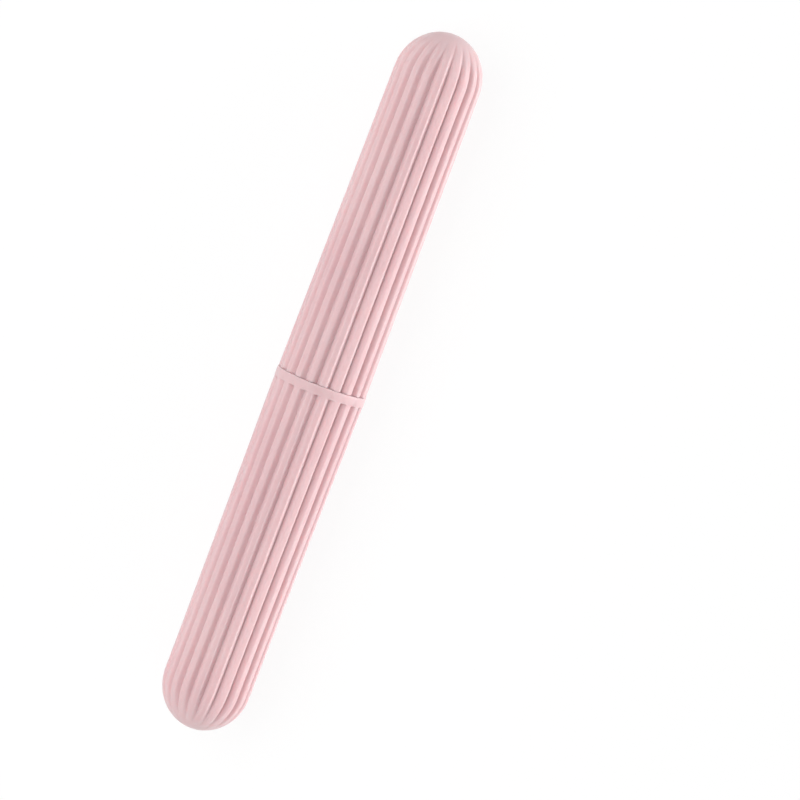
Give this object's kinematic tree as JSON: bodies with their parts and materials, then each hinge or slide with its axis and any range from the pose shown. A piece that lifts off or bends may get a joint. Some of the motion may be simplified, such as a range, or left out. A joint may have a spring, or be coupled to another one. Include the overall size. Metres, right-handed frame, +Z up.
{
  "type": "toothbrush case",
  "caption": "Ribbed round travel case with domed ends, lying flat, whose cap pulls off the neck of its base to take a toothbrush.",
  "frame": {"origin": "on the surface that the case lies on, under the middle of the joint between base and cap", "axes": "+X along the case from its base to its cap, +Z up from the surface"},
  "size_m": [0.205, 0.026, 0.026],
  "materials": {
    "pink_plastic": "pale pink polypropylene, injection moulded with a fine satin texture"
  },
  "bodies": {
    "base": {"base_shell": "pink_plastic"},
    "cap": {"cap_shell": "pink_plastic"}
  },
  "joints": [
    {"name": "cap_pull", "type": "slide", "parent": "base", "child": "cap", "axis": [1, 0, 0], "range_m": [0, 0.11]}
  ]
}
